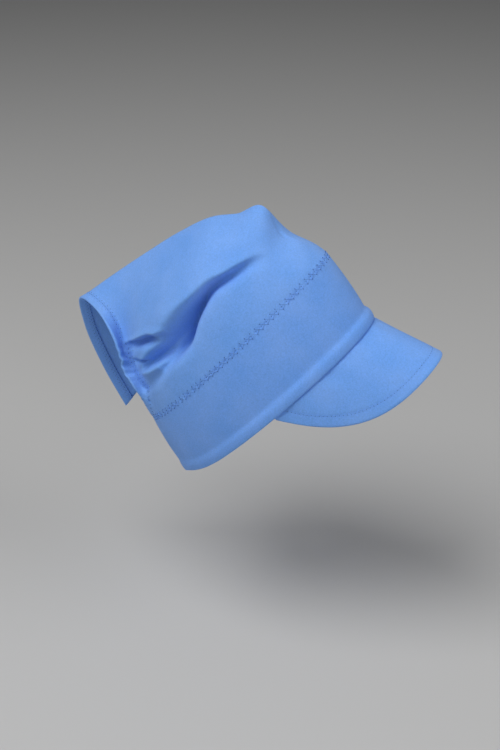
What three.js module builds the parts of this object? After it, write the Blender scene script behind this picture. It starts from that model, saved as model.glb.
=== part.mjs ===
// A peaked headscarf of light blue jersey, in millimetres.
// +X is the wearer's left, +Y the back and +Z up. The origin is the middle of the head opening.
// A wide double headband runs tilted from the hairline to the nape. The crown is sewn to its upper
// edge, has a soft corner on the centre line, and ends in an open tail whose rim is hemmed inside.
// A short stiff peak comes out from under the front of the headband.
import * as THREE from 'three';

const { clamp, degToRad, lerp, smoothstep } = THREE.MathUtils;

// Cloth thicknesses and the clearance between neighbouring pieces
const CROWN_WALL = 1.2;
const HEM_WALL = 1.0;
const BAND_WALL = 2.0;
const PEAK_WALL = 2.6;
const GAP = 0.3;
const HEM_GAP = 0.5;

// The two edges of the headband are egg-shaped loops in tilted planes. An angle on a loop is 0 at
// the front, 90 over the wearer's right ear and 180 at the nape, where trim draws the edge in.
const OPENING = { tilt: 45.4, halfLength: 105.4, halfWidth: 74.8, egg: 0.20, y: 0, z: 0, trim: 2.6 };
const CROWN_SEAM = { tilt: 47.3, halfLength: 103.8, halfWidth: 72.3, egg: 0.22, y: 32.8, z: 48.2, trim: 0 };

// The headband bulges between its edges and has a raised, folded lower edge, drawn here as its
// height above the edge and how far it stands out. The edge is flatter at the nape.
const BAND_BULGE = 1.4;
const BAND_SEGMENTS = 88;
const BAND_EDGE = [
  { height: 0, out: 0 },
  { height: 1.5, out: 0.9 },
  { height: 5, out: 1.4 },
  { height: 9, out: 0.8 },
  { height: 11, out: -0.5 },
  { height: 13.5, out: -0.3 },
];
const BAND_EDGE_AT_NAPE = 0.5;
const BAND_UPPER_SHARES = [0.5, 0.78, 1];
const BAND_INNER_SHARES = [1, 0.5, 0.1, 0];

// The crown is lofted through sections. Each arch stands on the crown seam at foot degrees on both
// sides and meets the top line on the centre plane. rise and reach are the lengths of its springing
// and of its shoulder as shares of its chord, lean turns the springing towards the back, and fall is
// how steeply the shoulder drops from the top line.
const ARCHES = [
  { v: 0.09, foot: 24, topY: -19, topZ: 135, rise: 0.34, lean: 0, reach: 0.34, fall: 6 },
  { v: 0.17, foot: 42, topY: -1, topZ: 143, rise: 0.42, lean: 0, reach: 0.32, fall: 16 },
  { v: 0.24, foot: 56, topY: 12.5, topZ: 161, rise: 0.46, lean: 0, reach: 0.22, fall: 38 },
  { v: 0.34, foot: 70, topY: 34, topZ: 152.5, rise: 0.44, lean: 4, reach: 0.38, fall: 18 },
  { v: 0.44, foot: 84, topY: 54, topZ: 147.5, rise: 0.44, lean: 8, reach: 0.42, fall: 18 },
  { v: 0.58, foot: 102, topY: 82, topZ: 131, rise: 0.44, lean: 14, reach: 0.42, fall: 24 },
  { v: 0.72, foot: 119, topY: 110, topZ: 110, rise: 0.42, lean: 20, reach: 0.40, fall: 32 },
  { v: 0.86, foot: 134, topY: 142, topZ: 84.5, rise: 0.38, lean: 24, reach: 0.38, fall: 40 },
];
const FIRST_FOOT = 14;
const LAST_FOOT = 148;
const TOP_LINE_UP = new THREE.Vector3(0, 0.35, 0.94);

// The rim of the open tail, on from the right end of the crown seam. Its right side is drawn up and
// gathered, so the rim comes there at an earlier station v. Its left side hangs lower to a free
// corner, and a bowed edge runs from there to the left end of the seam.
const TAIL_RIM = [
  { u: -0.79, v: 0.885, x: -55, y: 102, z: 13 },
  { u: -0.65, v: 0.89, x: -50, y: 114, z: 27 },
  { u: -0.51, v: 0.90, x: -46, y: 119, z: 43 },
  { u: -0.24, v: 0.92, x: -26, y: 144, z: 62 },
  { u: 0.00, v: 1, x: -4, y: 172, z: 60 },
  { u: 0.14, v: 1, x: 8, y: 175, z: 34 },
  { u: 0.45, v: 1, x: 22, y: 167, z: -14 },
  { u: 0.78, v: 1, x: 31, y: 150.5, z: -59 },
];
const TAIL_SLIT_BOW = new THREE.Vector3(0, 3, 12);
const HEM_WIDTH = 8.5;
const HEM_SPAN = { from: -0.80, to: 0.79 };

// Folds of the crown, as paths of (u, v) on it. A fold sinks by its depths along the path, within
// its width. Its upper lip rises and hangs over it.
const FOLDS = [
  { name: 'valley', start: [-0.70, 0.90], middle: [-0.715, 0.56], end: [-0.50, 0.22],
    width: 11, depths: [5, 12, 0], lip: 5, overhang: 4 },
  { name: 'pocket', start: [-0.49, 0.95], middle: [-0.565, 0.75], end: [-0.62, 0.60],
    width: 5, depths: [3, 5, 0], lip: 2.5, overhang: 2 },
  { name: 'tuck', start: [-0.58, 0.95], middle: [-0.655, 0.79], end: [-0.70, 0.66],
    width: 4, depths: [3, 4.5, 0], lip: 1.5, overhang: 1 },
  { name: 'left fold', start: [0.70, 0.90], middle: [0.66, 0.60], end: [0.50, 0.30],
    width: 14, depths: [2, 6, 0], lip: 2, overhang: 0 },
];
const FOLD_SAMPLES = 24;
const FOLD_FREE_FOOT = 0.06;
const FOLD_FREE_RIM = 14;

// How far apart in u and v the points lie that give the crown's normals, for its folds and its wall
const FOLD_NORMAL_STEP = 0.02;
const WALL_NORMAL_STEP = 0.025;

// Small gathers where the right side of the tail's rim is drawn together
const GATHERS = { from: -0.78, to: -0.46, count: 2, height: 0.8, reach: 14 };

// Lines of the crown's mesh, as runs from one station to the next with a number of steps
const CROWN_U_RUNS = [[-1, -0.79, 7], [-0.79, -0.40, 17], [-0.40, 0, 8], [0, 0.78, 12], [0.78, 1, 4]];
const CROWN_T_RUNS = [[0, 0.2, 5], [0.2, 0.6, 12], [0.6, 1, 14]];

// The peak's straight rulings start at the opening's edge, run forward and dip by droop degrees, and
// by sideDroop more at its two ends, where they are shortest
const PEAK = {
  halfAngle: 77.5, reach: 61.6, droop: 18.9, sideDroop: 19.5, sideTurn: -6, squareness: 6, taper: 1.2,
  endShare: 0.985, stitchInset: 9, rimWall: 2,
};
const PEAK_U_STEPS = 28;
const PEAK_S_STEPS = 7;

const COLOURS = { crown: 0x6d97d6, headband: 0x6791d2, peak: 0x6c96d6, hem: 0x5f88c6 };

const vector = (x, y, z) => new THREE.Vector3(x, y, z);

// A point on one of the headband's edges
function loopPoint(loop, angle) {
  const tilt = degToRad(loop.tilt);
  const cos = Math.cos(degToRad(angle));
  const sin = Math.sin(degToRad(angle));
  const forward = loop.halfLength * cos + loop.trim * Math.max(-cos, 0) ** 8;
  const x = -loop.halfWidth * (1 - loop.egg * cos) * sin;
  return vector(x, loop.y - forward * Math.cos(tilt), loop.z + forward * Math.sin(tilt));
}

// The way out of the headband at an angle
function bandOut(angle) {
  const middle = loopPoint(OPENING, angle).add(loopPoint(CROWN_SEAM, angle)).multiplyScalar(0.5);
  const centre = vector(0, (OPENING.y + CROWN_SEAM.y) / 2, (OPENING.z + CROWN_SEAM.z) / 2);
  return middle.sub(centre).normalize();
}

// The headband's outer surface without its raised edge, from share 0 at the opening to 1 at the seam
function bandPoint(angle, share) {
  const bulge = BAND_BULGE * 4 * share * (1 - share);
  return loopPoint(OPENING, angle).lerp(loopPoint(CROWN_SEAM, angle), share)
    .addScaledVector(bandOut(angle), bulge);
}

// The way up along the headband where it meets the crown
function bandUp(angle) {
  const step = 0.001;
  return bandPoint(angle, 1).sub(bandPoint(angle, 1 - step)).normalize();
}

// Where the crown stands on the headband, just clear of it
function crownFoot(angle) {
  return loopPoint(CROWN_SEAM, angle).addScaledVector(bandUp(angle), GAP);
}

// A smooth curve through values at unevenly spaced stations. A value is a number or a vector.
function curveThrough(stations, values, at) {
  const last = stations.length - 1;
  const slope = (i, j) => values[j].clone().sub(values[i]).divideScalar(stations[j] - stations[i]);
  const tangent = (i) => {
    if (i === 0) return slope(0, 1);
    if (i === last) return slope(last - 1, last);
    const before = stations[i] - stations[i - 1];
    const after = stations[i + 1] - stations[i];
    return slope(i - 1, i).lerp(slope(i, i + 1), before / (before + after));
  };
  let i = 0;
  while (i < last - 1 && at > stations[i + 1]) i += 1;
  const span = stations[i + 1] - stations[i];
  const t = (at - stations[i]) / span;
  return values[i].clone().multiplyScalar(2 * t ** 3 - 3 * t ** 2 + 1)
    .addScaledVector(tangent(i), span * (t ** 3 - 2 * t ** 2 + t))
    .addScaledVector(values[i + 1], 3 * t ** 2 - 2 * t ** 3)
    .addScaledVector(tangent(i + 1), span * (t ** 3 - t ** 2));
}

// A point of one arch, from u = -1 at its right foot over 0 at the top line to 1 at its left foot
function archPoint(row, u) {
  const right = u < 0;
  const angle = right ? row.foot : -row.foot;
  const foot = crownFoot(angle);
  const top = vector(0, row.topY, row.topZ);
  const chord = foot.distanceTo(top);
  const turn = right ? 0.01 : -0.01;
  const backward = loopPoint(CROWN_SEAM, angle + turn).sub(loopPoint(CROWN_SEAM, angle)).normalize();
  const lean = degToRad(row.lean);
  const springing = bandUp(angle).multiplyScalar(Math.cos(lean)).addScaledVector(backward, Math.sin(lean));
  const fall = degToRad(row.fall);
  const shoulder = vector(right ? -Math.cos(fall) : Math.cos(fall), 0, 0)
    .addScaledVector(TOP_LINE_UP, -Math.sin(fall));
  return new THREE.CubicBezierCurve3(
    foot,
    foot.clone().addScaledVector(springing, row.rise * chord),
    top.clone().addScaledVector(shoulder, row.reach * chord),
    top,
  ).getPoint(1 - Math.abs(u));
}

// A point of the tail's rim
function rimPoint(u) {
  const stations = [-1, ...TAIL_RIM.map((row) => row.u)];
  const points = [crownFoot(LAST_FOOT), ...TAIL_RIM.map((row) => vector(row.x, row.y, row.z))];
  const last = stations.at(-1);
  if (u <= last) return curveThrough(stations, points, u);
  const share = (u - last) / (1 - last);
  return points.at(-1).lerp(crownFoot(-LAST_FOOT), share)
    .addScaledVector(TAIL_SLIT_BOW, Math.sin(Math.PI * share));
}

// The station v at which the rim ends line u
function rimStation(u) {
  const stations = [-1, ...TAIL_RIM.map((row) => row.u), 1];
  const ends = [1, ...TAIL_RIM.map((row) => row.v), 1].map((v) => vector(v, 0, 0));
  return Math.min(curveThrough(stations, ends, u).x, 1);
}

const ARCH_STATIONS = [0, ...ARCHES.map((row) => row.v)];
const SECTION_FEET = [FIRST_FOOT, ...ARCHES.map((row) => row.foot), LAST_FOOT];

// The angle of the crown's foot at station v
function footAngle(v) {
  const feet = SECTION_FEET.map((angle) => vector(angle, 0, 0));
  return curveThrough([...ARCH_STATIONS, 1], feet, v).x;
}

// The crown without folds. Its feet are pulled onto the seam between the sections.
function crownBase(u, v) {
  const sections = [crownFoot(-FIRST_FOOT * u), ...ARCHES.map((row) => archPoint(row, u)), rimPoint(u)];
  const side = u < 0 ? 1 : -1;
  const feet = SECTION_FEET.map((angle) => crownFoot(side * angle));
  const stray = crownFoot(side * footAngle(v)).sub(curveThrough([...ARCH_STATIONS, 1], feet, v));
  return curveThrough([...ARCH_STATIONS, rimStation(u)], sections, v)
    .addScaledVector(stray, Math.abs(u) ** 3);
}

// The outward normal of a surface given as a function of u and v, levelled over a step each way
function normalOf(surface, u, v, step) {
  const acrossU = surface(Math.min(u + step, 1), v).sub(surface(Math.max(u - step, -1), v));
  const alongV = surface(u, Math.min(v + step, rimStation(u))).sub(surface(u, Math.max(v - step, 0)));
  return acrossU.cross(alongV).normalize();
}

// A path of (u, v) through three points, laid on the unfolded crown
function foldPath(fold) {
  const path = [];
  for (let i = 0; i <= FOLD_SAMPLES; i += 1) {
    const t = i / FOLD_SAMPLES;
    const [u, v] = [0, 1].map((k) => {
      const pull = 2 * fold.middle[k] - (fold.start[k] + fold.end[k]) / 2;
      return (1 - t) ** 2 * fold.start[k] + 2 * t * (1 - t) * pull + t * t * fold.end[k];
    });
    path.push(crownBase(u, Math.min(v, rimStation(u))));
  }
  return path;
}

// Where a point lies against a path: the nearest place along it, the way along it there, the offset
// from it, and how far the point lies past either end
function placeOnPath(path, point) {
  let best = { distance: Infinity };
  for (let i = 0; i < path.length - 1; i += 1) {
    const along = path[i + 1].clone().sub(path[i]);
    const length = along.length();
    along.normalize();
    const free = point.clone().sub(path[i]).dot(along);
    const step = clamp(free, 0, length);
    const offset = point.clone().sub(path[i]).addScaledVector(along, -step);
    const distance = offset.length();
    if (distance < best.distance) {
      const before = i === 0 ? Math.max(-free, 0) : 0;
      const after = i === path.length - 2 ? Math.max(free - length, 0) : 0;
      best = { distance, along, offset, past: before + after, t: (i + step / length) / (path.length - 1) };
    }
  }
  return best;
}

const FOLD_PATHS = FOLDS.map(foldPath);

// How a fold moves a point of the crown
function foldShift(fold, path, point, normal) {
  const place = placeOnPath(path, point);
  const towardsTop = normal.clone().cross(place.along).normalize();
  if (fold.middle[0] > 0) towardsTop.negate();
  const offset = place.distance * Math.sign(place.offset.dot(towardsTop));
  const [start, middle, end] = fold.depths;
  const t = place.t;
  const depth = start * (1 - t) * (1 - 2 * t) + 4 * middle * t * (1 - t) + end * t * (2 * t - 1);
  const fade = Math.exp(-((place.past / fold.width) ** 2));
  const sink = depth * fade * Math.exp(-((place.distance / fold.width) ** 2));
  const lipOffset = (offset - 1.5 * fold.width) / (0.8 * fold.width);
  const lip = clamp(depth / Math.max(...fold.depths), 0, 1) * fade * Math.exp(-(lipOffset ** 2));
  return normal.clone().multiplyScalar(fold.lip * lip - sink)
    .addScaledVector(towardsTop, -fold.overhang * lip);
}

// The small waves of the gathered rim, as a height along the normal
function gatherHeight(u, distanceFromRim) {
  if (u < GATHERS.from || u > GATHERS.to) return 0;
  const share = (u - GATHERS.from) / (GATHERS.to - GATHERS.from);
  const wave = Math.sin(2 * Math.PI * GATHERS.count * share) * Math.sin(Math.PI * share);
  return GATHERS.height * wave * Math.exp(-((distanceFromRim / GATHERS.reach) ** 2));
}

// The crown's outer surface
function crownSurface(u, v) {
  const point = crownBase(u, v);
  const normal = normalOf(crownBase, u, v, FOLD_NORMAL_STEP);
  const shift = vector(0, 0, 0);
  FOLDS.forEach((fold, i) => shift.add(foldShift(fold, FOLD_PATHS[i], point, normal)));
  const fromRim = point.distanceTo(rimPoint(u));
  shift.multiplyScalar(smoothstep(fromRim, 0, FOLD_FREE_RIM));
  shift.addScaledVector(normal, gatherHeight(u, fromRim));
  const free = smoothstep(1 - Math.abs(u), 0, FOLD_FREE_FOOT);
  return point.addScaledVector(shift, free);
}

// The station v that lies a distance in from the tail's rim
function stationFromRim(u, distance) {
  const rim = rimPoint(u);
  let near = rimStation(u);
  let far = 0.5;
  for (let i = 0; i < 24; i += 1) {
    const middle = (near + far) / 2;
    if (crownBase(u, middle).distanceTo(rim) < distance) near = middle;
    else far = middle;
  }
  return (near + far) / 2;
}

// All stations of a list of runs
function stationsOf(runs) {
  const stations = [runs[0][0]];
  for (const [from, to, steps] of runs) {
    for (let i = 1; i <= steps; i += 1) stations.push(lerp(from, to, i / steps));
  }
  return stations;
}

// A closed body from faces over a list of vertices, turned so that its faces point out
function bodyFrom(vertices, faces) {
  const volume = faces.reduce((sum, [a, b, c]) => {
    const area = vertices[b].clone().cross(vertices[c]);
    return sum + vertices[a].dot(area);
  }, 0);
  const outward = volume > 0 ? faces : faces.map(([a, b, c]) => [a, c, b]);
  const geometry = new THREE.BufferGeometry().setFromPoints(vertices);
  geometry.setIndex(outward.flat());
  geometry.computeVertexNormals();
  return geometry;
}

// Two triangles between four vertices
const quad = (a, b, c, d) => [[a, b, c], [a, c, d]];

// A sheet with two faces: an outer and an inner grid of the same size, joined round the edge. Each
// cell is split along its shorter diagonal, the same way on both faces.
function sheetBody(outer, inner) {
  const rows = outer.length;
  const columns = outer[0].length;
  const vertices = [...outer.flat(), ...inner.flat()];
  const at = (layer, i, j) => layer * rows * columns + i * columns + j;
  const faces = [];
  for (let i = 0; i < rows - 1; i += 1) {
    for (let j = 0; j < columns - 1; j += 1) {
      const corners = [[i, j], [i, j + 1], [i + 1, j + 1], [i + 1, j]];
      const falling = outer[i][j].distanceTo(outer[i + 1][j + 1]);
      const rising = outer[i][j + 1].distanceTo(outer[i + 1][j]);
      if (rising < falling) corners.push(corners.shift());
      faces.push(...quad(...corners.map(([row, column]) => at(0, row, column))));
      faces.push(...quad(...corners.map(([row, column]) => at(1, row, column)))
        .map(([a, b, c]) => [a, c, b]));
    }
  }
  for (let j = 0; j < columns - 1; j += 1) {
    faces.push(...quad(at(0, 0, j + 1), at(0, 0, j), at(1, 0, j), at(1, 0, j + 1)));
    const last = rows - 1;
    faces.push(...quad(at(0, last, j), at(0, last, j + 1), at(1, last, j + 1), at(1, last, j)));
  }
  for (let i = 0; i < rows - 1; i += 1) {
    faces.push(...quad(at(0, i, 0), at(0, i + 1, 0), at(1, i + 1, 0), at(1, i, 0)));
    const last = columns - 1;
    faces.push(...quad(at(0, i + 1, last), at(0, i, last), at(1, i, last), at(1, i + 1, last)));
  }
  return bodyFrom(vertices, faces);
}

// A ring with a closed outline carried round it
function ringBody(outlines) {
  const count = outlines.length;
  const sides = outlines[0].length;
  const at = (i, j) => (i % count) * sides + (j % sides);
  const faces = [];
  for (let i = 0; i < count; i += 1) {
    for (let j = 0; j < sides; j += 1) {
      faces.push(...quad(at(i, j), at(i, j + 1), at(i + 1, j + 1), at(i + 1, j)));
    }
  }
  return bodyFrom(outlines.flat(), faces);
}

function meshOf(name, geometry, colour) {
  const material = new THREE.MeshStandardMaterial({ color: colour, roughness: 0.95, metalness: 0 });
  const mesh = new THREE.Mesh(geometry, material);
  mesh.name = name;
  return mesh;
}

// The crown and, inside its rim, the turned hem
const crownColumns = stationsOf(CROWN_U_RUNS);
const crownRows = stationsOf(CROWN_T_RUNS);
const hemDistances = [HEM_WIDTH / 2, 0];

// The crown's stations v along one line u: even shares up to the hem, then the hem's own lines
function crownStations(u) {
  const hemStart = stationFromRim(u, HEM_WIDTH);
  const toHem = crownRows.map((t) => t * hemStart);
  return [...toHem, ...hemDistances.map((distance) => stationFromRim(u, distance))];
}

// The way out of the cloth. Along the feet it lies in the headband's top face.
function crownOut(u, v) {
  const onFoot = Math.abs(u) === 1 || v === 0;
  if (!onFoot) return normalOf(crownSurface, u, v, WALL_NORMAL_STEP);
  return bandOut(v === 0 ? -FIRST_FOOT * u : -Math.sign(u) * footAngle(v));
}

// The crown's mesh lines, one for each column, as points with their ways out
const crownLines = () => crownColumns.map((u) => crownStations(u).map((v) => (
  { u, point: crownSurface(u, v), normal: crownOut(u, v) })));

// One layer of the lines, sunk inwards by a depth
const layerOf = (lines, depth) => lines.map((line) => line.map(({ point, normal }) => (
  point.clone().addScaledVector(normal, -depth))));

function crownAndHem() {
  const lines = crownLines();
  const crown = sheetBody(layerOf(lines, 0), layerOf(lines, CROWN_WALL));
  const hemLines = lines.filter(([{ u }]) => u > HEM_SPAN.from && u < HEM_SPAN.to)
    .map((line) => line.slice(-hemDistances.length - 1));
  const hemDepth = CROWN_WALL + HEM_GAP;
  const hem = sheetBody(layerOf(hemLines, hemDepth), layerOf(hemLines, hemDepth + HEM_WALL));
  return [
    meshOf('crown', crown, COLOURS.crown),
    meshOf('tail_hem', hem, COLOURS.hem),
  ];
}

// The headband's outline at one angle: up its outer side and down its inner side
function bandOutline(angle) {
  const width = loopPoint(OPENING, angle).distanceTo(loopPoint(CROWN_SEAM, angle));
  const flatten = lerp(1, BAND_EDGE_AT_NAPE, (1 - Math.cos(degToRad(angle))) / 2);
  const out = bandOut(angle);
  return [
    ...BAND_EDGE.map((row) => bandPoint(angle, row.height / width)
      .addScaledVector(out, row.out * flatten)),
    ...BAND_UPPER_SHARES.map((share) => bandPoint(angle, share)),
    ...BAND_INNER_SHARES.map((share) => bandPoint(angle, share).addScaledVector(out, -BAND_WALL)),
  ];
}

function headband() {
  const outlines = [];
  for (let i = 0; i < BAND_SEGMENTS; i += 1) outlines.push(bandOutline((360 * i) / BAND_SEGMENTS));
  return meshOf('headband', ringBody(outlines), COLOURS.headband);
}

// The peak's upper surface: u from -1 to 1 between its ends, s from 0 at the root to 1 at the rim
function peakRuling(u) {
  const angle = u * PEAK.halfAngle;
  const length = PEAK.reach * (1 - Math.abs(u) ** PEAK.squareness) ** PEAK.taper;
  const droop = degToRad(PEAK.droop + PEAK.sideDroop * u * u);
  const turn = degToRad(PEAK.sideTurn * u);
  const way = vector(-Math.sin(turn) * Math.cos(droop), -Math.cos(droop) * Math.cos(turn), -Math.sin(droop));
  const root = loopPoint(OPENING, angle).addScaledVector(bandOut(angle), BAND_EDGE[0].out)
    .addScaledVector(bandUp(angle), -GAP);
  return { root, way, length, out: bandOut(angle) };
}

function peak() {
  const outer = [];
  const inner = [];
  for (let i = 0; i <= PEAK_U_STEPS; i += 1) {
    const spread = Math.sin((Math.PI / 2) * (2 * (i / PEAK_U_STEPS) - 1));
    const u = PEAK.endShare * spread;
    const { root, way, length, out } = peakRuling(u);
    const side = peakRuling(u + 0.01).root.sub(peakRuling(u - 0.01).root);
    const normal = way.clone().cross(side).normalize();
    if (normal.dot(out) < 0) normal.negate();
    const upper = [];
    const lower = [];
    for (let j = 0; j <= PEAK_S_STEPS; j += 1) {
      const s = j / PEAK_S_STEPS;
      const point = root.clone().addScaledVector(way, length * s);
      const depthWay = out.clone().lerp(normal, smoothstep(s, 0, 0.5)).normalize();
      const fromRim = length * (1 - s);
      const wall = lerp(PEAK.rimWall, PEAK_WALL, smoothstep(fromRim, 0, PEAK.stitchInset));
      upper.push(point);
      lower.push(point.clone().addScaledVector(depthWay, -wall));
    }
    outer.push(upper);
    inner.push(lower);
  }
  return meshOf('peak', sheetBody(outer, inner), COLOURS.peak);
}

const headscarf = new THREE.Group();
headscarf.add(...crownAndHem(), headband(), peak());

export default headscarf;
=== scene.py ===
# A peaked headscarf of light blue jersey, in metres, in the frame of the CAD model.
# +X is the wearer's left, +Y the back and +Z up. The peak points to -Y, the open tail to +Y.
import math

import bpy
import numpy as np
from mathutils import Matrix, Vector


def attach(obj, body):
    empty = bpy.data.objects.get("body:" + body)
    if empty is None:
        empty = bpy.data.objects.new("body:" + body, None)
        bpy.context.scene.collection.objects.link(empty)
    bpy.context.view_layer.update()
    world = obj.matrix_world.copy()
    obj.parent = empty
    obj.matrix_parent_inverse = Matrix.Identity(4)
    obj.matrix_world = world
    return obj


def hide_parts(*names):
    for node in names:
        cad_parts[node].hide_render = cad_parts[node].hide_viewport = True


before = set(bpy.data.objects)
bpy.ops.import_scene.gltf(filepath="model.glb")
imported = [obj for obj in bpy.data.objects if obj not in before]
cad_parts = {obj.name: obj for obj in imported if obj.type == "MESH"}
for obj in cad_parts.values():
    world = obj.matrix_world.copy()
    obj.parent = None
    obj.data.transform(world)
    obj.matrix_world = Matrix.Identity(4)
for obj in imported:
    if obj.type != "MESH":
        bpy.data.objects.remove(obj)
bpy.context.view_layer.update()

MM = 0.001

# The two edges of the headband, in millimetres and degrees: egg-shaped loops in tilted planes. trim
# draws the nape in. rise lifts the edge at both corners of the nape, around RISE_ANGLE degrees from
# the front and over about RISE_WIDTH degrees each way.
OPENING = dict(
    tilt=45.4, half_length=105.4, half_width=74.8, egg=0.20, y=0.0, z=0.0, trim=2.6, rise=4.2)
CROWN_SEAM = dict(
    tilt=47.3, half_length=103.8, half_width=72.3, egg=0.22, y=32.8, z=48.2, trim=0.0, rise=0.0)
TRIM_SHARPNESS = 8
RISE_ANGLE = 141
RISE_WIDTH = 18
BAND_BULGE = 1.4
SEAM_GAP = 0.3

# The radius that turns an angle round the head into a running length
HEAD_RADIUS = 88

# The crown's arches: station, foot angle, top line y and z, rise, lean, reach, fall
ARCHES = [
    (0.09, 24, -19, 135, 0.34, 0, 0.34, 6),
    (0.17, 42, -1, 143, 0.42, 0, 0.32, 16),
    (0.24, 56, 12.5, 161, 0.46, 0, 0.22, 38),
    (0.34, 70, 34, 152.5, 0.44, 4, 0.38, 18),
    (0.44, 84, 54, 147.5, 0.44, 8, 0.42, 18),
    (0.58, 102, 82, 131, 0.44, 14, 0.42, 24),
    (0.72, 119, 110, 110, 0.42, 20, 0.40, 32),
    (0.86, 134, 142, 84.5, 0.38, 24, 0.38, 40),
]
FIRST_FOOT = 14
LAST_FOOT = 148
TOP_LINE_UP = (0.0, 0.35, 0.94)

# The tail's rim: line u, station v, x, y, z
TAIL_RIM = [
    (-0.79, 0.885, -55, 102, 13),
    (-0.65, 0.89, -50, 114, 27),
    (-0.51, 0.90, -46, 119, 43),
    (-0.24, 0.92, -26, 144, 62),
    (0.00, 1.0, -4, 172, 60),
    (0.14, 1.0, 8, 175, 34),
    (0.45, 1.0, 22, 167, -14),
    (0.78, 1.0, 31, 150.5, -59),
]
TAIL_SLIT_BOW = (0.0, 3.0, 12.0)

# The crown's folds, a row for each place along one: line u and station v on the crown, then the
# depth, the widths above and below, and the height and overhang of the lip, in millimetres. The
# places of the valley, the pocket and the tuck follow the output of another program, which put
# points read off the photograph onto the crown, and most were then moved a little by hand. The
# valley foot and the nape hollow were chosen near such places. The rest was chosen one by one.
FOLDS = {
    "valley": [
        (-0.687, 0.775, 3.5, 3.5, 3, 0.5, 0.5),
        (-0.698, 0.711, 10, 5, 4, 1, 1.5),
        (-0.698, 0.646, 15, 8, 6, 2, 3),
        (-0.694, 0.592, 17, 11, 9, 3, 4),
        (-0.684, 0.545, 20, 12, 10, 4, 5.5),
        (-0.653, 0.508, 22, 11.5, 9, 4.5, 6),
        (-0.623, 0.479, 22, 10, 7.5, 4.5, 6),
        (-0.590, 0.450, 20, 8, 7, 4.5, 6),
        (-0.560, 0.423, 16.5, 6.5, 6.5, 4, 5.5),
        (-0.530, 0.385, 12, 5.5, 6, 3.2, 4.5),
        (-0.530, 0.343, 9, 4.8, 5.5, 2.4, 3.5),
        (-0.546, 0.301, 6.5, 4.6, 5, 2, 2.8),
        (-0.562, 0.262, 4, 4.5, 4.5, 1.4, 2),
        (-0.550, 0.232, 2, 4.5, 4.5, 0.6, 1),
        (-0.495, 0.197, 0, 3.5, 4.5, 0, 0),
    ],
    "valley foot": [
        (-0.680, 0.500, 2, 6, 6, 0, 0),
        (-0.725, 0.505, 7, 6, 6, 0, 0),
        (-0.755, 0.525, 11, 6, 5.5, 0, 0),
        (-0.772, 0.560, 11, 5.5, 5, 0, 0),
        (-0.785, 0.600, 7, 5, 4.5, 0, 0),
        (-0.800, 0.635, 3, 4, 4, 0, 0),
    ],
    "pocket": [
        (-0.496, 0.803, 2.5, 2.2, 3.5, 1, 0.5),
        (-0.523, 0.762, 6.5, 2.6, 4.5, 2, 2),
        (-0.545, 0.716, 8, 2.8, 5, 2.5, 2.5),
        (-0.575, 0.660, 6.5, 3, 5, 2, 2),
        (-0.610, 0.605, 2.5, 3.5, 5, 1, 1),
    ],
    "tuck": [
        (-0.605, 0.810, 1.5, 1.8, 1.8, 0.5, 0),
        (-0.645, 0.772, 4.5, 1.8, 1.8, 1, 0.8),
        (-0.670, 0.735, 2, 2, 2, 0.5, 0.5),
    ],
    "ridge": [
        (-0.720, 0.795, -1, 3, 3, 0, 0),
        (-0.765, 0.705, -3, 3, 3.5, 0, 0),
        (-0.780, 0.640, -2.5, 3, 3.5, 0, 0),
        (-0.785, 0.585, -0.8, 3, 3, 0, 0),
    ],
    "nape hollow": [
        (-0.805, 0.865, 1, 3, 4, 0, 0),
        (-0.815, 0.755, 2.5, 4, 4.5, 0, 0),
        (-0.810, 0.665, 3, 4, 5, 0, 0),
        (-0.800, 0.605, 2, 4, 5, 0, 0),
        (-0.800, 0.555, 0.8, 4, 5, 0, 0),
    ],
    "nape crease": [
        (-0.830, 0.865, 0.4, 1.2, 1.2, 0, 0),
        (-0.880, 0.855, 0.8, 1.2, 1.2, 0, 0),
        (-0.925, 0.830, 0.4, 1.2, 1.2, 0, 0),
    ],
    "pouch line": [
        (-0.450, 0.600, 0.3, 3, 3, 0, 0),
        (-0.475, 0.525, 0.7, 3, 3, 0, 0),
        (-0.475, 0.455, 0.8, 3, 3, 0, 0),
        (-0.460, 0.390, 0.7, 3, 3, 0, 0),
        (-0.435, 0.345, 0.3, 3, 3, 0, 0),
    ],
    "corner crease": [
        (0.02, 0.205, 0.6, 3, 3, 0, 0),
        (-0.005, 0.175, 1.2, 3, 3, 0, 0),
        (-0.075, 0.145, 0.5, 3, 3, 0, 0),
    ],
    "left fold": [
        (0.70, 0.90, 2, 14, 14, 0.7, 0),
        (0.66, 0.60, 6, 14, 14, 2, 0),
        (0.50, 0.30, 0.2, 14, 14, 0, 0),
    ],
}

# A creased fold is rounded at its bottom and ends on its upper side at a set distance. Any fold's
# lip stands beside it. All four are multiples of the fold's width above.
CREASED_FOLDS = ("valley", "pocket")
CREASE_ROUNDING = 0.28
CREASE_REACH = 1.4
LIP_OFFSET = 1.35
LIP_WIDTH = 0.7

# A fold whose second row has a larger u lies on the wearer's left
LEFT_FROM = 0.1
FOLD_SAMPLES = 24
FOLD_FREE_FOOT = 0.06
FOLD_FREE_RIM = 11
FOLD_NORMAL_STEP = 0.02
WALL_NORMAL_STEP = 0.012
CRINKLES = dict(start=-0.76, end=-0.47, count=5, height=0.75, reach=9)
GATHERS = dict(start=-0.78, end=-0.46, count=2, height=0.8, reach=14)

# The crown's cloth and its turned hem, by distance from the rim and depth under the outer face
CLOTH = 1.0
HEM_WIDTH = 10.2
HEM_ROLL = 0.75
HEM_STITCH = 8.2
CROWN_U_RUNS = [(-1, -0.84, 22), (-0.84, -0.40, 90), (-0.40, 0, 46), (0, 0.78, 68), (0.78, 1, 20)]
CROWN_ROWS = 150

# The headband's folded lower edge stands out most at the front
BAND_EDGE_MEAN = 0.76
BAND_EDGE_SWING = 0.40
BAND_WALL = 2.0
BAND_COLUMNS = 720

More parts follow.
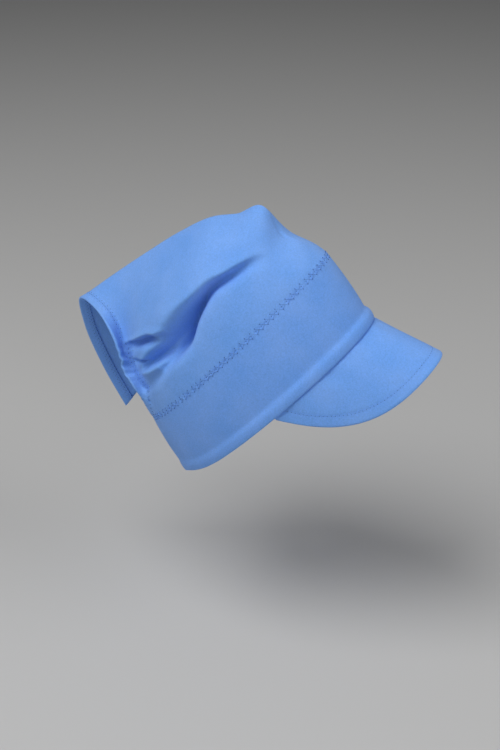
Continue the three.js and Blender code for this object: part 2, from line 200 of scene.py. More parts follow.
PEAK = dict(half_angle=77.5, reach=61.6, droop=18.9, side_droop=19.5, side_turn=-6, squareness=6,
            taper=1.2, end_share=0.985, wall=2.6, rim_wall=2.0)


def unit(vectors):
    return vectors / (np.linalg.norm(vectors, axis=-1, keepdims=True) + 1e-12)


def smooth(value, low, high):
    share = np.clip((value - low) / (high - low), 0, 1)
    return share * share * (3 - 2 * share)


def curve_through(stations, values, at):
    """A smooth curve through values (n, m, k) at stations (n, m), read at (r, m)."""
    steps = np.diff(stations, axis=0)[..., None]
    slopes = np.diff(values, axis=0) / steps
    share = steps[:-1] / (steps[:-1] + steps[1:])
    tangents = np.concatenate(
        [slopes[:1], slopes[:-1] * (1 - share) + slopes[1:] * share, slopes[-1:]])
    index = (at[None] > stations[1:-1, None]).sum(0)
    column = np.arange(stations.shape[1])[None]
    start = stations[index, column]
    span = stations[index + 1, column] - start
    t = ((at - start) / span)[..., None]
    span = span[..., None]
    return (
        (2 * t**3 - 3 * t**2 + 1) * values[index, column]
        + span * (t**3 - 2 * t**2 + t) * tangents[index, column]
        + (3 * t**2 - 2 * t**3) * values[index + 1, column]
        + span * (t**3 - t**2) * tangents[index + 1, column]
    )


def line_through(stations, values, at):
    """The same for one line of values (n, k), read at (r,)."""
    stations = np.asarray(stations, float)[:, None]
    values = np.asarray(values, float)[:, None]
    return curve_through(stations, values, np.asarray(at, float)[:, None])[:, 0]


def loop_point(loop, angle):
    """A point on one of the headband's edges, at an angle from the front over the right ear."""
    tilt = math.radians(loop["tilt"])
    angle = np.radians(np.asarray(angle, float))
    at_nape = np.maximum(-np.cos(angle), 0)
    forward = loop["half_length"] * np.cos(angle) + loop["trim"] * at_nape**TRIM_SHARPNESS
    from_corner = np.abs((np.degrees(angle) + 180) % 360 - 180) - RISE_ANGLE
    rise = loop["rise"] * np.exp(-(from_corner / RISE_WIDTH)**2)
    x = -loop["half_width"] * (1 - loop["egg"] * np.cos(angle)) * np.sin(angle)
    y = loop["y"] - forward * math.cos(tilt) + rise * math.sin(tilt)
    z = loop["z"] + forward * math.sin(tilt) + rise * math.cos(tilt)
    return np.stack([x, y, z], -1)


def band_out(angle):
    middle = (loop_point(OPENING, angle) + loop_point(CROWN_SEAM, angle)) / 2
    centre = [0, (OPENING["y"] + CROWN_SEAM["y"]) / 2, (OPENING["z"] + CROWN_SEAM["z"]) / 2]
    return unit(middle - np.array(centre))


def band_point(angle, share):
    share = np.asarray(share, float)[..., None]
    bulge = BAND_BULGE * 4 * share * (1 - share)
    low, high = loop_point(OPENING, angle), loop_point(CROWN_SEAM, angle)
    return low + (high - low) * share + band_out(angle) * bulge


def band_up(angle):
    share = np.ones(np.shape(angle))
    return unit(band_point(angle, share) - band_point(angle, share - 0.001))


def crown_foot(angle):
    return loop_point(CROWN_SEAM, angle) + band_up(angle) * SEAM_GAP


def arch_point(row, u):
    _, foot_angle, top_y, top_z, rise, lean, reach, fall = row
    side = np.where(u < 0, -1.0, 1.0)
    angle = -side * foot_angle
    foot = crown_foot(angle)
    top = np.array([0.0, top_y, top_z])
    chord = np.linalg.norm(foot - top, axis=-1, keepdims=True)
    backward = unit(loop_point(CROWN_SEAM, angle - side * 0.01) - loop_point(CROWN_SEAM, angle))
    lean, fall = math.radians(lean), math.radians(fall)
    springing = band_up(angle) * math.cos(lean) + backward * math.sin(lean)
    shoulder = np.stack([side * math.cos(fall), 0 * u, 0 * u], -1)
    shoulder = shoulder - np.array(TOP_LINE_UP) * math.sin(fall)
    first = foot + springing * rise * chord
    second = top + shoulder * reach * chord
    t = (1 - np.abs(u))[:, None]
    return (foot * (1 - t)**3 + 3 * first * t * (1 - t)**2
            + 3 * second * t * t * (1 - t) + top * t**3)


def rim_point(u):
    table = np.array(TAIL_RIM, float)
    stations = np.concatenate([[-1], table[:, 0]])
    points = np.concatenate([crown_foot(np.array([LAST_FOOT])), table[:, 2:]])
    on_curve = line_through(stations, points, np.minimum(u, table[-1, 0]))
    share = np.clip((u - table[-1, 0]) / (1 - table[-1, 0]), 0, 1)[:, None]
    slit = table[-1, 2:] * (1 - share) + crown_foot(np.array([-LAST_FOOT])) * share
    slit = slit + np.array(TAIL_SLIT_BOW) * np.sin(np.pi * share)
    return np.where((u > table[-1, 0])[:, None], slit, on_curve)


def rim_station(u):
    table = np.array(TAIL_RIM, float)
    stations = np.concatenate([[-1], table[:, 0], [1]])
    ends = np.concatenate([[1], table[:, 1], [1]])[:, None]
    return np.minimum(line_through(stations, ends, u)[:, 0], 1)


ARCH_STATIONS = [0] + [row[0] for row in ARCHES]
SECTION_FEET = np.array([FIRST_FOOT] + [row[1] for row in ARCHES] + [LAST_FOOT], float)


def foot_angle(v):
    flat = line_through(ARCH_STATIONS + [1], SECTION_FEET[:, None], np.ravel(v))
    return flat.reshape(np.shape(v))


def crown_base(u, v):
    """The crown without folds, at lines u (m,) and stations v (r, m)."""
    side = np.where(u < 0, 1.0, -1.0)
    sections = [crown_foot(-FIRST_FOOT * u)]
    sections += [arch_point(row, u) for row in ARCHES]
    sections = np.array(sections + [rim_point(u)])
    feet = np.array([crown_foot(side * angle) for angle in SECTION_FEET])
    even = np.repeat(np.array(ARCH_STATIONS + [1.0])[:, None], len(u), 1)
    own = even.copy()
    own[-1] = rim_station(u)
    stray = crown_foot(side * foot_angle(v)) - curve_through(even, feet, v)
    return curve_through(own, sections, v) + stray * (np.abs(u)**3)[None, :, None]


def normals_of(surface, u, v, step):
    ends = rim_station(u)
    right, left = np.minimum(u + step, 1), np.maximum(u - step, -1)
    across = surface(right, v) - surface(left, v)
    along = surface(u, np.minimum(v + step, ends)) - surface(u, np.maximum(v - step, 0))
    return unit(np.cross(across, along))


def fold_path(rows):
    """Points along a fold on the plain crown, with its depth, widths, lip and overhang there."""
    table = np.array(rows, float)
    along = np.linspace(0, len(rows) - 1, FOLD_SAMPLES + 1)
    smoothed = line_through(np.arange(len(rows)), table, along)
    u, v = smoothed[:, 0], np.minimum(smoothed[:, 1], rim_station(smoothed[:, 0]))
    path = np.array([crown_base(u[i:i + 1], v[i:i + 1, None])[0, 0] for i in range(len(u))])
    return path, smoothed[:, 2:]


def fold_shift(path, values, points, normals, left, creased):
    """How a fold moves points of the crown: into the cloth, with a lip that hangs over."""
    best = np.full(points.shape[:-1], np.inf)
    place = np.zeros_like(best)
    past = np.zeros_like(best)
    offset = np.zeros_like(points)
    along = np.zeros_like(points)
    last = len(path) - 2
    for i in range(len(path) - 1):
        way = path[i + 1] - path[i]
        length = np.linalg.norm(way)
        way = way / length
        free = (points - path[i]) @ way
        step = np.clip(free, 0, length)
        from_path = points - path[i] - step[..., None] * way
        distance = np.linalg.norm(from_path, axis=-1)
        nearer = distance < best
        beyond = np.zeros_like(best)
        if i == 0:
            beyond = np.maximum(-free, 0)
        if i == last:
            beyond = beyond + np.maximum(free - length, 0)
        best = np.where(nearer, distance, best)
        place = np.where(nearer, i + step / length, place)
        past = np.where(nearer, beyond, past)
        offset = np.where(nearer[..., None], from_path, offset)
        along = np.where(nearer[..., None], way, along)
    towards_top = unit(np.cross(normals, along))
    if left:
        towards_top = -towards_top
    signed = best * np.sign((offset * towards_top).sum(-1))
    depth, above, below, lip, overhang = (
        np.interp(place, np.arange(len(path)), column) for column in values.T)
    if creased:
        rounding = CREASE_ROUNDING * above
        best = np.sqrt(best**2 + rounding**2) - rounding
    fade = np.exp(-(past / above)**2)
    shape = np.exp(-(best / np.where(signed > 0, above, below))**2)
    if creased:
        above_crease = np.clip(1 - best / (CREASE_REACH * above), 0, 1)**2
        shape = np.where(signed > 0, above_crease, shape)
    sink = depth * fade * shape
    crest = fade * np.exp(-((signed - LIP_OFFSET * above) / (LIP_WIDTH * above))**2)
    return normals * (lip * crest - sink)[..., None] - towards_top * (overhang * crest)[..., None]


FOLD_PATHS = [fold_path(rows) for rows in FOLDS.values()]


def crown_surface(u, v):
    """The crown's outer surface with its folds and gathers."""
    points = crown_base(u, v)
    normals = normals_of(crown_base, u, v, FOLD_NORMAL_STEP)
    shift = np.zeros_like(points)
    for (name, rows), (path, values) in zip(FOLDS.items(), FOLD_PATHS):
        left = rows[1][0] > LEFT_FROM
        shift += fold_shift(path, values, points, normals, left, name in CREASED_FOLDS)
    from_rim = np.linalg.norm(points - rim_point(u)[None], axis=-1)
    shift *= smooth(from_rim, 0, FOLD_FREE_RIM)[..., None]
    share = np.clip((u - GATHERS["start"]) / (GATHERS["end"] - GATHERS["start"]), 0, 1)
    wave = np.sin(2 * np.pi * GATHERS["count"] * share) * np.sin(np.pi * share)
    height = GATHERS["height"] * wave * np.exp(-(from_rim / GATHERS["reach"])**2)
    share = np.clip((u - CRINKLES["start"]) / (CRINKLES["end"] - CRINKLES["start"]), 0, 1)
    wave = np.sin(2 * np.pi * CRINKLES["count"] * share**0.8) * np.sin(np.pi * share)
    height = height + CRINKLES["height"] * wave * np.exp(-(from_rim / CRINKLES["reach"])**2)
    shift += normals * height[..., None]
    free = smooth(1 - np.abs(u), 0, FOLD_FREE_FOOT)
    return points + shift * free[None, :, None]


def station_from_rim(u, distance):
    rim = rim_point(u)
    near, far = rim_station(u), np.full(len(u), 0.5)
    for _ in range(22):
        middle = (near + far) / 2
        inside = np.linalg.norm(crown_base(u, middle[None])[0] - rim, axis=-1) < distance
        near = np.where(inside, middle, near)
        far = np.where(inside, far, middle)
    return (near + far) / 2


def stations_of(runs):
    stations = [np.array([runs[0][0]], float)]
    stations += [np.linspace(start, end, steps + 1)[1:] for start, end, steps in runs]
    return np.concatenate(stations)


# Making mesh objects

def add_object(name, data):
    made = bpy.data.objects.new(name, data)
    bpy.context.scene.collection.objects.link(made)
    return made


def mesh_object(name, points, faces, uvs):
    """A mesh object from points in millimetres. uvs are one pair for each point, in metres."""
    mesh = bpy.data.meshes.new(name)
    mesh.from_pydata((points * MM).tolist(), [], faces.tolist())
    layer = mesh.uv_layers.new(name="cloth")
    corners = np.zeros(len(mesh.loops), int)
    mesh.loops.foreach_get("vertex_index", corners)
    layer.data.foreach_set("uv", uvs[corners].astype(np.float32).ravel())
    mesh.shade_smooth()
    mesh.validate()
    return add_object(name, mesh)


def grid_faces(rows, columns, wrap=False):
    """Quads over a grid of points, numbered row by row, closed across the columns if it wraps."""
    steps = columns if wrap else columns - 1
    i, j = np.meshgrid(np.arange(rows - 1), np.arange(steps), indexing="ij")
    right = (j + 1) % columns
    quads = [i * columns + j, i * columns + right, (i + 1) * columns + right, (i + 1) * columns + j]
    return np.stack([corner.ravel() for corner in quads], -1)


def lengths_along(points, axis):
    """The running length along one axis of a grid of points."""
    steps = np.linalg.norm(np.diff(points, axis=axis), axis=-1)
    pad = [(0, 0), (0, 0)]
    pad[axis] = (1, 0)
    return np.pad(np.cumsum(steps, axis=axis), pad)


# The seam's pucker: two sets of waves beside it, and the groove that the stitches pull in
PUCKER = dict(height=0.2, reach=5, fine=1.13, slow=0.171, second=0.83, second_share=0.7)
SEAM_GROOVE = dict(depth=0.16, reach=2.4)


def seam_place(points):
    """For points near the crown seam, the angle on its loop and the distance from it."""
    tilt = math.radians(CROWN_SEAM["tilt"])
    back, high = points[..., 1] - CROWN_SEAM["y"], points[..., 2] - CROWN_SEAM["z"]
    cos = (high * math.sin(tilt) - back * math.cos(tilt)) / CROWN_SEAM["half_length"]
    sin = -points[..., 0] / (CROWN_SEAM["half_width"] * (1 - CROWN_SEAM["egg"] * cos))
    angle = np.degrees(np.arctan2(sin, cos))
    return angle, np.linalg.norm(points - loop_point(CROWN_SEAM, angle), axis=-1)


def seam_pucker(angle, distance):
    """How far the cloth stands out beside the stitched seam, in millimetres."""
    run = np.radians(angle) * HEAD_RADIUS
    wave = np.sin(run * PUCKER["fine"]) * np.sin(run * PUCKER["slow"] + 1)
    wave = wave + PUCKER["second_share"] * np.sin(run * PUCKER["second"] + 2)
    groove = SEAM_GROOVE["depth"] * np.exp(-(distance / SEAM_GROOVE["reach"])**2)
    return PUCKER["height"] * wave * np.exp(-(distance / PUCKER["reach"])**2) - groove


# The crown: one cloth from the seam to the rim, turned in there and laid back as the hem. Its rows
# near the rim, by distance from it, then the turns of the roll, in degrees.

HEM_ROWS = [11.4, 10.8, 10.2, 9.6, 9, 8.5, 8, 7.5, 6.8, 5.8, 4.6, 3.2, 1.8]
HEM_TURNS = [0, 30, 60, 90]
HEM_LEAD = 1.2
HEM_STEP = 0.3
HEM_STEP_REACH = 0.8
STITCH_PRESS = dict(outside=0.35, inside=0.2, reach=1.6)
CROWN_ROW_SPREAD = 0.85

# The crown's edge is tucked into the top of the headband, down and inwards
TUCK = 1.6
TUCK_INWARDS = 0.4
SEAM_TURN_REACH = 3


def hem_profile():
    """Rows of the hem, out to the rim and back: the row of the outer face above it, and its depth."""
    rows = []
    for k, distance in enumerate(HEM_ROWS):
        edge = smooth(distance, HEM_WIDTH + HEM_STEP_REACH, HEM_WIDTH - HEM_STEP_REACH)
        raised = HEM_STEP * float(edge)
        off_stitch = (distance - HEM_STITCH) / STITCH_PRESS["reach"]
        pressed = STITCH_PRESS["outside"] * math.exp(-off_stitch**2)
        rows.append((k, CLOTH / 2 - raised + pressed))
    middle = CLOTH / 2 - HEM_STEP + HEM_ROLL
    turns = list(enumerate(HEM_TURNS))
    for k, turn in turns:
        rows.append((len(HEM_ROWS) + k, middle - HEM_ROLL * math.cos(math.radians(turn))))
    for k, turn in turns[-2::-1]:
        rows.append((len(HEM_ROWS) + k, middle + HEM_ROLL * math.cos(math.radians(turn))))
    for k in range(len(HEM_ROWS) - 1, 1, -1):
        off_stitch = (HEM_ROWS[k] - HEM_STITCH) / STITCH_PRESS["reach"]
        pressed = STITCH_PRESS["inside"] * math.exp(-off_stitch**2)
        rows.append((k, middle + HEM_ROLL - pressed))
    return rows


def make_crown():
    u = stations_of(CROWN_U_RUNS)
    distances = HEM_ROWS + [HEM_ROLL * (1 - math.sin(math.radians(turn))) for turn in HEM_TURNS]
    hem_start = station_from_rim(u, HEM_ROWS[0] + HEM_LEAD)
    body = np.linspace(0, 1, CROWN_ROWS)[:, None]**CROWN_ROW_SPREAD * hem_start[None]
    hem = np.array([station_from_rim(u, distance) for distance in distances])
    v = np.concatenate([body, hem])
    surface = crown_surface(u, v)
    normals = unit(np.cross(np.gradient(surface, axis=1), np.gradient(surface, axis=0)))
    profile = hem_profile()
    order = list(range(CROWN_ROWS)) + [CROWN_ROWS + row for row, _ in profile]
    depth = np.array([CLOTH / 2] * CROWN_ROWS + [row[1] for row in profile])
    v, surface, normals = v[order], surface[order], normals[order]
    side = np.where(u < 0, 1.0, -1.0)
    angle, distance = seam_place(surface)
    at_seam = smooth(distance, SEAM_TURN_REACH, 0)[..., None]
    normals = unit(normals * (1 - at_seam) + band_out(angle) * at_seam)
    middle = surface - normals * depth[:, None, None]
    middle += normals * seam_pucker(angle, distance)[..., None]

    def tucked(edge, edge_angle):
        down = band_up(edge_angle) * (TUCK + SEAM_GAP)
        return edge - down - band_out(edge_angle) * TUCK_INWARDS

    right = tucked(middle[:, :1], foot_angle(v[:, :1]))
    left = tucked(middle[:, -1:], -foot_angle(v[:, -1:]))
    middle = np.concatenate([right, middle, left], 1)
    front_angle = np.concatenate([[FIRST_FOOT], -FIRST_FOOT * u, [-FIRST_FOOT]])
    front = tucked(middle[:1], front_angle[None])
    middle = np.concatenate([front, middle], 0)

    rows, columns = middle.shape[:2]
    across = lengths_along(middle, 1)
    centre = int(np.argmin(np.abs(u))) + 1
    across = across - across[:, centre:centre + 1]
    down = np.repeat(lengths_along(middle, 0)[:, centre:centre + 1], columns, 1)
    uvs = np.stack([across, down], -1).reshape(-1, 2) * MM
    made = mesh_object("crown_cloth", middle.reshape(-1, 3), grid_faces(rows, columns), uvs)
    thicken = made.modifiers.new("cloth", "SOLIDIFY")
    thicken.thickness = CLOTH * MM
    thicken.offset = 0
    return made


# The headband: two layers folded over at the lower edge, drawn as one closed ring. Each profile
# gives heights above an edge and how far the cloth stands out there.

BAND_PROFILE = [
    (-0.3, -1.2), (-0.9, -0.6), (-1.4, 0.2), (-1.7, 1.1), (-1.5, 1.8), (-0.8, 2.2), (0.3, 2.45),
    (1.7, 2.55), (3.2, 2.5), (4.7, 2.25), (6.0, 1.8), (7.2, 1.15), (8.3, 0.5), (9.2, 0.08),
    (10.4, -0.2), (12, -0.22), (15, -0.1), (20, 0),
]
BAND_BODY_ROWS = 26
BAND_TOP = [(0, -0.5), (0.25, -1.1), (0, -1.8)]
BAND_INNER_SHARES = [0.96, 0.88, 0.78, 0.66, 0.54, 0.42, 0.3, 0.2, 0.12, 0.06, 0.02]
BAND_BOTTOM = [(-0.3, -1.9), (-0.8, -1.4), (-0.85, -0.9)]
BAND_ROW_SPREAD = 0.8
EASE = dict(height=0.12, fine=0.31, slow=0.047, phase=0.6)


def make_headband():
    angle = np.linspace(0, 360, BAND_COLUMNS, endpoint=False)
    width = np.linalg.norm(loop_point(OPENING, angle) - loop_point(CROWN_SEAM, angle), axis=-1)
    flatten = BAND_EDGE_MEAN + BAND_EDGE_SWING * np.cos(np.radians(angle))
    out, up = band_out(angle), band_up(angle)
    run = np.radians(angle) * HEAD_RADIUS
    ease = EASE["height"] * np.sin(run * EASE["fine"]) * np.sin(run * EASE["slow"] + EASE["phase"])
    rows = []

    def add(share, height, outwards):
        point = band_point(angle, share) + up * np.reshape(height, (-1, 1))
        rows.append(point + out * np.reshape(outwards, (-1, 1)))

    for height, outwards in BAND_PROFILE:
        add(np.maximum(height, 0) / width, min(height, 0) * flatten, outwards * flatten + ease)
    last = BAND_PROFILE[-1][0] / width
    for k in range(1, BAND_BODY_ROWS + 1):
        share = last + (1 - last) * (k / BAND_BODY_ROWS)**BAND_ROW_SPREAD
        from_seam = (1 - share) * width
        signed = np.where(angle > 180, angle - 360, angle)
        add(share, 0, seam_pucker(signed, from_seam) + ease * (1 - share))
    for height, outwards in BAND_TOP:
        add(np.ones_like(width), height, outwards)
    for share in BAND_INNER_SHARES:
        add(np.full_like(width, share), 0, -BAND_WALL)
    for height, outwards in BAND_BOTTOM:
        add(np.zeros_like(width), height, outwards)

    ring = np.array(rows)
    count = len(ring)
    ring = np.concatenate([ring, ring[:1]])
    along = np.repeat(run[None], count + 1, 0)
    down = lengths_along(ring, 0)
    uvs = np.stack([along, down], -1)[:count].reshape(-1, 2) * MM
    faces = grid_faces(count, BAND_COLUMNS, wrap=True)
    first = np.arange(BAND_COLUMNS)
    final = (count - 1) * BAND_COLUMNS + first
    closing = np.stack([final, np.roll(final, -1), np.roll(first, -1), first], -1)
    points = ring[:count].reshape(-1, 3)
    return mesh_object("headband_cloth", points, np.concatenate([faces, closing])[:, ::-1], uvs)


# The peak: a stiff insert between two layers, stitched along its rim

PEAK_COLUMNS = 150
PEAK_ROWS = 54
PEAK_EDGE_TURNS = 6
PEAK_STITCH = 8.7
RULING_STEP = 0.01

# The peak's relief in millimetres. Reaches at its root are shares of its length.
PEAK_GROOVE = dict(depth=-0.16, width=0.8)
PEAK_INSERT = dict(height=0.14, over=3)
ROOT_WAVES = dict(height=0.3, fine=40, slow=17, reach=0.1)
ROOT_DIP = dict(depth=-1.3, reach=0.035)
ROOT_TUCKED = 0.04
RIM_THINS_OVER = 9
RIM_ROUND = 0.55
RIM_ROUND_REACH = 1.2


def peak_ruling(u):
    angle = u * PEAK["half_angle"]
    length = PEAK["reach"] * (1 - np.abs(u)**PEAK["squareness"])**PEAK["taper"]
    droop = np.radians(PEAK["droop"] + PEAK["side_droop"] * u * u)
    turn = np.radians(PEAK["side_turn"] * u)
    way = np.stack([-np.sin(turn) * np.cos(droop), -np.cos(droop) * np.cos(turn), -np.sin(droop)], -1)
    root = loop_point(OPENING, angle) - band_up(angle) * SEAM_GAP
    return root, way, length, band_out(angle)


def peak_grid(u, s):
    """Points of the peak's upper face at (r, m), the way into it, and the distance from its rim."""
    root, way, length, out = peak_ruling(u)
    before, after = peak_ruling(u - RULING_STEP)[0], peak_ruling(u + RULING_STEP)[0]
    normal = unit(np.cross(way, after - before))
    normal = np.where((normal * out).sum(-1, keepdims=True) < 0, -normal, normal)
    points = root + way * (length[None] * s)[..., None]
    level = smooth(s, 0, 0.5)[..., None]
    inwards = -unit(out * (1 - level) + normal * level)
    fine = np.linspace(-PEAK["end_share"], PEAK["end_share"], 500)
    rim_root, rim_way, rim_length, _ = peak_ruling(fine)
    rim = rim_root + rim_way * rim_length[:, None]
    distance = np.full(points.shape[:-1], np.inf)
    for place in rim:
        distance = np.minimum(distance, np.linalg.norm(points - place, axis=-1))
    return points, inwards, distance


def peak_height(distance, u, s):
    """How far the upper face stands above its plain form, in millimetres."""
    groove = PEAK_GROOVE["depth"] * np.exp(-((distance - PEAK_STITCH) / PEAK_GROOVE["width"])**2)
    inner = smooth(distance, PEAK_STITCH, PEAK_STITCH + PEAK_INSERT["over"])
    insert = PEAK_INSERT["height"] * inner
    from_root = np.maximum(s, 0) / ROOT_WAVES["reach"]
    fine = ROOT_WAVES["height"] * np.sin(u * ROOT_WAVES["fine"])
    slow = ROOT_WAVES["height"] * np.sin(u * ROOT_WAVES["slow"] + 1)
    root_waves = (fine + slow) * from_root * np.exp(1 - from_root)
    root_dip = ROOT_DIP["depth"] * np.exp(-(s / ROOT_DIP["reach"])**2)
    return groove + insert + root_waves + root_dip


def make_peak():
    u = PEAK["end_share"] * np.sin(np.linspace(-np.pi / 2, np.pi / 2, PEAK_COLUMNS))
    s = np.repeat(np.linspace(-ROOT_TUCKED, 1, PEAK_ROWS)[:, None], PEAK_COLUMNS, 1)
    points, inwards, distance = peak_grid(u, s)
    thicker = smooth(distance, 0, RIM_THINS_OVER)
    wall = PEAK["rim_wall"] + (PEAK["wall"] - PEAK["rim_wall"]) * thicker
    lift = peak_height(distance, u[None], s)
    round_off = RIM_ROUND * np.clip(1 - distance / RIM_ROUND_REACH, 0, 1)**2
    upper = points - inwards * (lift - round_off)[..., None]
    lower = points + inwards * (wall + 0.5 * lift - round_off)[..., None]
    way = peak_ruling(u)[1]
    turns = []
    for k in range(1, PEAK_EDGE_TURNS):
        share = k / PEAK_EDGE_TURNS
        between = upper[-1] * (1 - share) + lower[-1] * share
        turns.append(between + way * RIM_ROUND * math.sin(math.pi * share))
    grid = np.concatenate([upper, np.array(turns), lower[::-1]])
    rows = len(grid)
    across, down = lengths_along(grid, 1), lengths_along(grid, 0)
    uvs = np.stack([across - across[:, PEAK_COLUMNS // 2:PEAK_COLUMNS // 2 + 1], down], -1)
    faces = grid_faces(rows, PEAK_COLUMNS)
    first = np.arange(PEAK_COLUMNS)
    final = (rows - 1) * PEAK_COLUMNS + first
    back = np.stack([final[:-1], final[1:], first[1:], first[:-1]], -1)
    ends = []
    for column in (0, PEAK_COLUMNS - 1):
        for k in range(rows // 2 - 1):
            low, high = k, rows - 1 - k
            quad = [low, low + 1, high - 1, high]
            quad = [row * PEAK_COLUMNS + column for row in quad]
            ends.append(quad if column == 0 else quad[::-1])
    faces = np.concatenate([faces[:, ::-1], back[:, ::-1], np.array(ends)])
    return mesh_object("peak_cloth", grid.reshape(-1, 3), faces, uvs.reshape(-1, 2) * MM)


# Stitches: short bowed threads that dip into the cloth at both ends

THREAD_RINGS = 5
THREAD_SIDES = 6
THREAD_SUNK = 0.35
THREAD_END_WIDTH = 0.55
THREAD_SWELL = 0.45

# Radius and bow of each kind, in millimetres. The holes are dark marks that paint the shade in the
# needle holes, and each has a radius of its own for each place.
CROWN_THREAD = dict(radius=0.22, bow=0.32)
PEAK_THREAD = dict(radius=0.17, bow=0.12)
PEAK_HOLE_SHADE_MARK = dict(radius=0.3, bow=0.04)
HOLE_BOW = 0.04


def thread_mesh(name, starts, ends, normals, radius, bow):
    """Threads from starts to ends (n, 3), bowed out along normals. radius and bow in millimetres."""
    share = np.linspace(0, 1, THREAD_RINGS)
    arc = np.sin(np.pi * share)
    radius = np.reshape(radius, (-1, 1))
    line = starts[:, None] + (ends - starts)[:, None] * share[None, :, None]
    line = line + normals[:, None] * (bow * arc - THREAD_SUNK * bow)[None, :, None]
    way = unit(ends - starts)
    side = unit(np.cross(way, normals))
    turns = np.linspace(0, 2 * np.pi, THREAD_SIDES, endpoint=False)
    width = radius * (THREAD_END_WIDTH + THREAD_SWELL * arc)
    around = (side[:, None] * np.cos(turns)[None, :, None]
              + normals[:, None] * np.sin(turns)[None, :, None])
    points = line[:, :, None] + around[:, None] * width[:, :, None, None]
    count = len(starts)
    block = THREAD_RINGS * THREAD_SIDES
    faces = grid_faces(THREAD_RINGS, THREAD_SIDES, wrap=True)
    tri = [[0, THREAD_SIDES - 1 - k, THREAD_SIDES - 2 - k] for k in range(THREAD_SIDES - 2)]
    last = (THREAD_RINGS - 1) * THREAD_SIDES
    caps = tri + [[last + b for b in reversed(face)] for face in tri]
    base = (np.arange(count) * block)[:, None, None]
    sides = (faces[None] + base).reshape(-1, 4)
    capped = (np.array(caps)[None] + base).reshape(-1, 3)
    mesh = bpy.data.meshes.new(name)
    mesh.from_pydata((points.reshape(-1, 3) * MM).tolist(), [], sides.tolist() + capped.tolist())
    mesh.shade_smooth()
    return add_object(name, mesh)


# The stretch stitch over the crown seam: its size in millimetres and where it ends, in degrees
SEAM_REPEAT = 5.4
SEAM_HALF_WIDTH = 2.3
SEAM_END = 147.0
MIDDLE_HOLE_RADIUS = 0.26
HOLE_RADIUS = 0.36
HOLE_HALF_LENGTH = 0.4


def crossed(low, high, low_normals, high_normals):
    """Two zigzags that cross, between points along two lines, and dark marks at their needle holes
    that paint the holes' shade.
    """
    starts = np.concatenate([low[:-1], high[:-1]])
    ends = np.concatenate([high[1:], low[1:]])
    normals = unit(np.concatenate(
        [low_normals[:-1] + high_normals[1:], high_normals[:-1] + low_normals[1:]]))
    points = np.concatenate([low, (low + high) / 2, high])
    point_normals = np.concatenate([low_normals, unit(low_normals + high_normals), high_normals])
    half = HOLE_HALF_LENGTH * np.tile(unit(high - low), (3, 1))
    radius = np.repeat([HOLE_RADIUS, MIDDLE_HOLE_RADIUS, HOLE_RADIUS], len(low))
    return (starts, ends, normals), ((points - half, points + half, point_normals), radius)


def seam_stitches():
    """A stretch stitch of crossing threads over the crown seam."""
    fine = np.linspace(-SEAM_END, SEAM_END, 2400)
    line = loop_point(CROWN_SEAM, fine)
    run = np.concatenate([[0], np.cumsum(np.linalg.norm(np.diff(line, axis=0), axis=-1))])
    angle = np.interp(np.arange(0, run[-1], SEAM_REPEAT), run, fine)
    up, out = band_up(angle), band_out(angle)

    def row(height):
        lift = seam_pucker(angle, abs(height)) + 0.1
        return loop_point(CROWN_SEAM, angle) + up * height + out * lift[:, None]

    return crossed(row(-SEAM_HALF_WIDTH), row(SEAM_HALF_WIDTH), out, out)


# The same stitch on the hem, in millimetres, and the lines u between which it runs
HEM_STITCH_REPEAT = 3.8
HEM_STITCH_HALF = 2.0
HEM_STITCH_END = 0.985


def hem_stitches(inside):
    """The same stitch along the hem, as it shows outside or inside the tail."""
    fine = np.linspace(-HEM_STITCH_END, HEM_STITCH_END, 900)

    def at(u, distance):
        v = station_from_rim(u, distance)[None]
        return crown_surface(u, v)[0], normals_of(crown_surface, u, v, WALL_NORMAL_STEP)[0]

    line = at(fine, HEM_STITCH)[0]
    run = np.concatenate([[0], np.cumsum(np.linalg.norm(np.diff(line, axis=0), axis=-1))])
    u = np.interp(np.arange(0, run[-1], HEM_STITCH_REPEAT), run, fine)
    near, near_normal = at(u, HEM_STITCH - HEM_STITCH_HALF)
    far, far_normal = at(u, HEM_STITCH + HEM_STITCH_HALF)
    if not inside:
        return crossed(near - near_normal * 0.05, far - far_normal * 0.05, near_normal, far_normal)
    turned_in = CLOTH - 0.5 + 2 * HEM_ROLL
    near, far = near - near_normal * turned_in, far - far_normal * turned_in
    return crossed(near, far, -near_normal, -far_normal)


PEAK_STITCH_LENGTH = 2.6
PEAK_STITCH_GAP = 0.5


def peak_stitches():
    """One row of straight stitches beside the peak's rim, and dark marks in the gaps between them
    that paint the needle holes' shade.
    """
    u = PEAK["end_share"] * np.sin(np.linspace(-np.pi / 2, np.pi / 2, 400))
    s = np.repeat(np.linspace(0, 1, 120)[:, None], len(u), 1)
    points, inwards, distance = peak_grid(u, s)
    first = np.array([np.argmax(distance[:, j] < PEAK_STITCH) for j in range(len(u))])
    kept = np.nonzero(first > 2)[0]
    row = first[kept]
    height = peak_height(np.full(len(kept), PEAK_STITCH), u[kept], s[row, kept])
    outwards = -inwards[row, kept]
    line = points[row, kept] + outwards * (height + 0.08)[:, None]
    run = np.concatenate([[0], np.cumsum(np.linalg.norm(np.diff(line, axis=0), axis=-1))])
    begin = np.arange(0, run[-1] - PEAK_STITCH_LENGTH, PEAK_STITCH_LENGTH + PEAK_STITCH_GAP)

    def read(values, at):
        return np.stack([np.interp(at, run, values[:, axis]) for axis in range(3)], -1)

    end = begin + PEAK_STITCH_LENGTH
    starts, ends = read(line, begin), read(line, end)
    threads = (starts, ends, unit(read(outwards, begin + PEAK_STITCH_LENGTH / 2)))
    return threads, (ends[:-1], starts[1:], unit(read(outwards, end[:-1])))


# Materials

# The knit's wales and courses in millimetres, and the scales of its noises
WALE = 0.85
COURSE = 0.75
NOISE = dict(wobble=260, fibres=1900, fleck=760, patch=38, relief=110)


